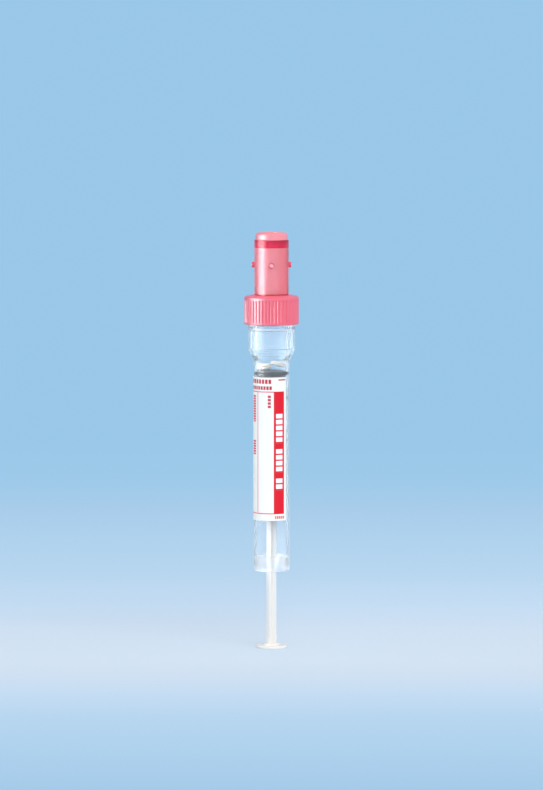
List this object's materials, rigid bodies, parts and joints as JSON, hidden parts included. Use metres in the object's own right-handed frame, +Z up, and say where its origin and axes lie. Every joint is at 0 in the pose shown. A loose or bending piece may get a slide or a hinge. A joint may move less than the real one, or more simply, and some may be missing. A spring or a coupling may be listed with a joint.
{
  "type": "blood collection tube",
  "caption": "Small clear aspiration blood collection tube with a ribbed red screw cap, hollow needle neck, wrap-round label and a sliding plunger with a cross-shaped rod.",
  "frame": {"origin": "on the tube's axis, at the face of the thumb disc that the tube stands on", "axes": "+Z up along the tube towards its cap, -Y out of the front, which shows the label's print, +X to the right seen from the front"},
  "size_m": [0.013, 0.013, 0.0992],
  "materials": {
    "clear_plastic": "gloss",
    "label_paper": "satin",
    "red_plastic": "gloss",
    "red_rubber": "satin",
    "black_rubber": "satin",
    "white_plastic": "satin",
    "pellet": "matte"
  },
  "bodies": {
    "plunger": {"plunger_rod": "white_plastic", "piston_seal": "black_rubber", "activator_pellet_1": "pellet", "activator_pellet_2": "pellet"},
    "barrel": {"tube": "clear_plastic", "label": "label_paper"},
    "stopper": {"membrane_stopper": "red_rubber"},
    "cap": {"screw_cap": "red_plastic"}
  },
  "joints": [
    {"name": "plunger_slide", "type": "slide", "parent": "plunger", "child": "barrel", "axis": [0, 0, 1], "range_m": [0, 0.0372]},
    {"name": "cap_lift", "type": "slide", "parent": "barrel", "child": "stopper", "axis": [0, 0, 1], "range_m": [0, 0.00625]},
    {"name": "cap_turn", "type": "hinge", "parent": "stopper", "child": "cap", "pos_m": [0, 0, 0.0841], "axis": [0, 0, 1], "range_deg": [0, 900]}
  ],
  "couplings": [
    {"joint": "cap_turn", "follows": "cap_lift", "rad_per_m": 2513.3}
  ]
}
